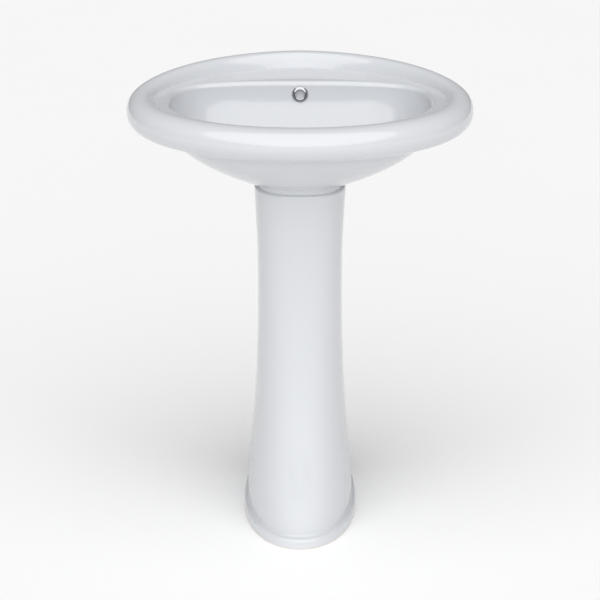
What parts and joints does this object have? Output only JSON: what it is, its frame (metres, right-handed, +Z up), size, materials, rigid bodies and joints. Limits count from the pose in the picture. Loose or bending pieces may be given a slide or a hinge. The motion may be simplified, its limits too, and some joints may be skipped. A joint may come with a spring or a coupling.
{
  "type": "pedestal sink",
  "caption": "Oval white china washbasin with a rolled rim and a flat back deck on a waisted china column, with click plug waste, overflow ring and P-trap.",
  "frame": {"origin": "on the floor, at the middle of the bounding box", "axes": "+Z up, -Y to the front, +Y to the wall, +X to the right seen from the front"},
  "size_m": [0.6002, 0.48, 0.8335],
  "materials": {
    "china": "gloss white glaze",
    "chrome": "polished",
    "brass": "plain turned",
    "white_rubber": "matt",
    "black_rubber": "matt",
    "white_plastic": "satin",
    "spring_steel": "drawn wire"
  },
  "bodies": {
    "sink": {"basin": "china", "pedestal": "china", "overflow_ring": "chrome", "waste_body": "chrome", "flange_seal": "white_rubber", "waste_gasket": "black_rubber", "waste_washer": "brass", "waste_locknut": "brass", "plug_cartridge": "white_plastic", "plug_spring": "spring_steel", "tailpiece": "chrome", "tailpiece_washer": "black_rubber", "tailpiece_nut": "chrome", "trap_bend": "chrome", "cleanout_plug": "chrome", "cleanout_washer": "black_rubber", "trap_inlet_nut": "chrome", "trap_inlet_washer": "black_rubber", "trap_outlet_nut": "chrome", "trap_outlet_washer": "black_rubber", "trap_arm": "chrome"},
    "plug": {"plug_cap": "chrome", "plug_seal": "black_rubber", "plug_stem": "brass"},
    "escutcheon": {"wall_escutcheon": "chrome"}
  },
  "joints": [
    {"name": "plug_push", "type": "slide", "parent": "sink", "child": "plug", "axis": [0, 0, 1], "range_m": [-0.008, 0], "deforming": ["plug_spring"]},
    {"name": "escutcheon_slide", "type": "slide", "parent": "sink", "child": "escutcheon", "axis": [0, 1, 0], "range_m": [-0.06, 0]}
  ]
}
